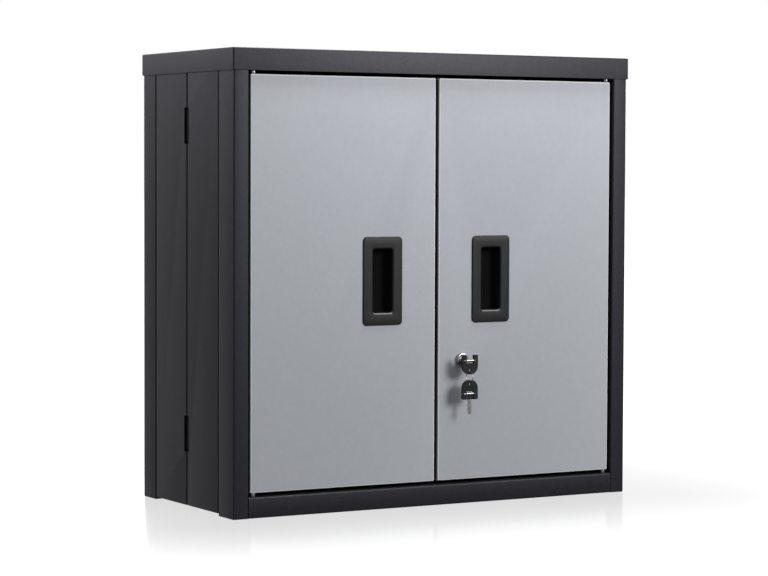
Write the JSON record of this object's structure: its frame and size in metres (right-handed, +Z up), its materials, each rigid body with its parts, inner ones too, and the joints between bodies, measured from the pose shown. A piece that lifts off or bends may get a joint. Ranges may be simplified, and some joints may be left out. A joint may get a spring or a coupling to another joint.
{
  "type": "wall cabinet",
  "caption": "Folding steel wall cabinet, charcoal carcass with two hinged light grey doors, recessed pulls, a cam lock with folding-head keys and a loose shelf.",
  "frame": {"origin": "middle of the back panel's rear face, which lies on the wall", "axes": "+X to the right as seen from the front, +Y towards the wall, so the doors face -Y, and +Z up"},
  "size_m": [0.6694, 0.3297, 0.66],
  "materials": {
    "charcoal_coat": "fine-texture powder coat, charcoal black",
    "light_grey_coat": "satin powder coat, light grey",
    "black_plastic": "moulded, fine matte grain",
    "chrome": "bright plate",
    "nickel": "nickel plate, lightly worn",
    "zinc_plate": "zinc plate",
    "magnet": "dark ferrite"
  },
  "bodies": {
    "carcass": {"back_panel": "charcoal_coat", "bottom_rail": "charcoal_coat", "catch_housing": "black_plastic", "catch_magnet": "magnet", "floor_panel": "charcoal_coat", "left_cover_screw": "zinc_plate", "left_door_bottom_pin": "chrome", "left_door_top_pin": "chrome", "left_front_leaf": "charcoal_coat", "left_front_shelf_clip": "zinc_plate", "left_lower_crease_hinge_front_plate": "charcoal_coat", "left_lower_crease_hinge_pin": "charcoal_coat", "left_lower_crease_hinge_rear_plate": "charcoal_coat", "left_lower_front_seam_pin": "charcoal_coat", "left_lower_rear_seam_pin": "charcoal_coat", "left_rear_leaf": "charcoal_coat", "left_rear_shelf_clip": "zinc_plate", "left_stile": "charcoal_coat", "left_upper_crease_hinge_front_plate": "charcoal_coat", "left_upper_crease_hinge_pin": "charcoal_coat", "left_upper_crease_hinge_rear_plate": "charcoal_coat", "left_upper_front_seam_pin": "charcoal_coat", "left_upper_rear_seam_pin": "charcoal_coat", "right_cover_screw": "zinc_plate", "right_door_bottom_pin": "chrome", "right_door_top_pin": "chrome", "right_front_leaf": "charcoal_coat", "right_front_shelf_clip": "zinc_plate", "right_lower_crease_hinge_front_plate": "charcoal_coat", "right_lower_crease_hinge_pin": "charcoal_coat", "right_lower_crease_hinge_rear_plate": "charcoal_coat", "right_lower_front_seam_pin": "charcoal_coat", "right_lower_rear_seam_pin": "charcoal_coat", "right_rear_leaf": "charcoal_coat", "right_rear_shelf_clip": "zinc_plate", "right_stile": "charcoal_coat", "right_upper_crease_hinge_front_plate": "charcoal_coat", "right_upper_crease_hinge_pin": "charcoal_coat", "right_upper_crease_hinge_rear_plate": "charcoal_coat", "right_upper_front_seam_pin": "charcoal_coat", "right_upper_rear_seam_pin": "charcoal_coat", "top_cover": "charcoal_coat", "top_rail": "charcoal_coat"},
    "left_door": {"left_door": "light_grey_coat", "left_pull": "black_plastic"},
    "right_door": {"right_door": "light_grey_coat", "right_pull": "black_plastic", "lock_housing": "chrome", "lock_nut": "zinc_plate"},
    "lock_plug": {"lock_plug": "chrome", "lock_cam": "zinc_plate", "cam_screw": "zinc_plate"},
    "key_blade": {"key_blade": "nickel"},
    "key_head": {"key_head": "black_plastic", "key_pin": "nickel"},
    "key_ring": {"key_ring": "nickel"},
    "spare_key_head": {"spare_key_head": "black_plastic", "spare_key_pin": "nickel"},
    "spare_key_blade": {"spare_key_blade": "nickel"},
    "shelf": {"shelf": "charcoal_coat"}
  },
  "joints": [
    {"name": "left_door_hinge", "type": "hinge", "parent": "carcass", "child": "left_door", "pos_m": [-0.299, -0.292, 0], "axis": [0, 0, -1], "range_deg": [0, 110]},
    {"name": "right_door_hinge", "type": "hinge", "parent": "carcass", "child": "right_door", "pos_m": [0.299, -0.292, 0], "axis": [0, 0, 1], "range_deg": [0, 110]},
    {"name": "lock_turn", "type": "hinge", "parent": "right_door", "child": "lock_plug", "pos_m": [0.0426, -0.302, -0.118], "axis": [0, 1, 0], "range_deg": [0, 90]},
    {"name": "key_withdraw", "type": "slide", "parent": "lock_plug", "child": "key_blade", "axis": [0, -1, 0], "range_m": [0, 0.025]},
    {"name": "key_head_fold", "type": "hinge", "parent": "key_blade", "child": "key_head", "pos_m": [0.0426, -0.32, -0.118], "axis": [-1, 0, 0], "range_deg": [0, 180]},
    {"name": "key_ring_swing", "type": "hinge", "parent": "key_head", "child": "key_ring", "pos_m": [0.0426, -0.32, -0.1322], "axis": [0, 1, 0], "range_deg": [-40, 40]},
    {"name": "spare_key_swing", "type": "hinge", "parent": "key_ring", "child": "spare_key_head", "pos_m": [0.0426, -0.32, -0.1522], "axis": [0, 1, 0], "range_deg": [-45, 45]},
    {"name": "spare_key_fold", "type": "hinge", "parent": "spare_key_head", "child": "spare_key_blade", "pos_m": [0.0426, -0.32, -0.1664], "axis": [-1, 0, 0], "range_deg": [0, 90]},
    {"name": "shelf_lift", "type": "slide", "parent": "carcass", "child": "shelf", "axis": [0, 0, 1], "range_m": [0, 0.025]}
  ]
}
